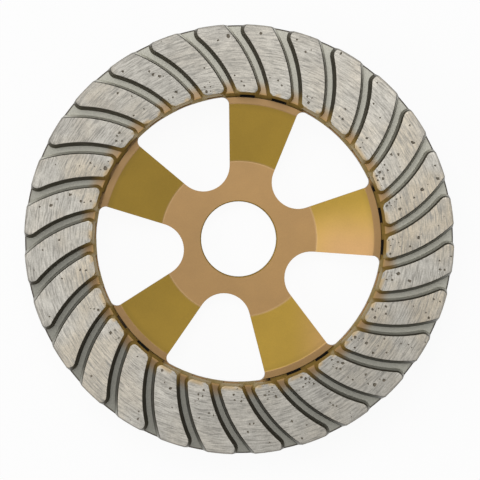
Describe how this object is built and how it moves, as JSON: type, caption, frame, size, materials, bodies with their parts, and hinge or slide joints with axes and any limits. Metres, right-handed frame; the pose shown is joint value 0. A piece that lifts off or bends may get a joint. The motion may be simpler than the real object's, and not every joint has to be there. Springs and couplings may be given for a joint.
{
  "type": "diamond cup wheel",
  "caption": "Shallow cup-shaped grinding wheel: gold-lacquered steel core with a plain bore and windows, and a sintered diamond ring with curved raised teeth.",
  "frame": {"origin": "on the spindle axis, in the plane of the hub's back face, on which the wheel lies", "axes": "+Z along the spindle axis towards the grinding side, +X a fixed direction across the wheel"},
  "size_m": [0.125, 0.125, 0.021],
  "materials": {
    "gold_lacquer": "thin semi-gloss gold lacquer over turned steel",
    "sintered_bond": "ground metal bond with fine circular scratches and open pores"
  },
  "bodies": {
    "root": {"steel_core": "gold_lacquer", "diamond_ring": "sintered_bond"}
  },
  "joints": []
}
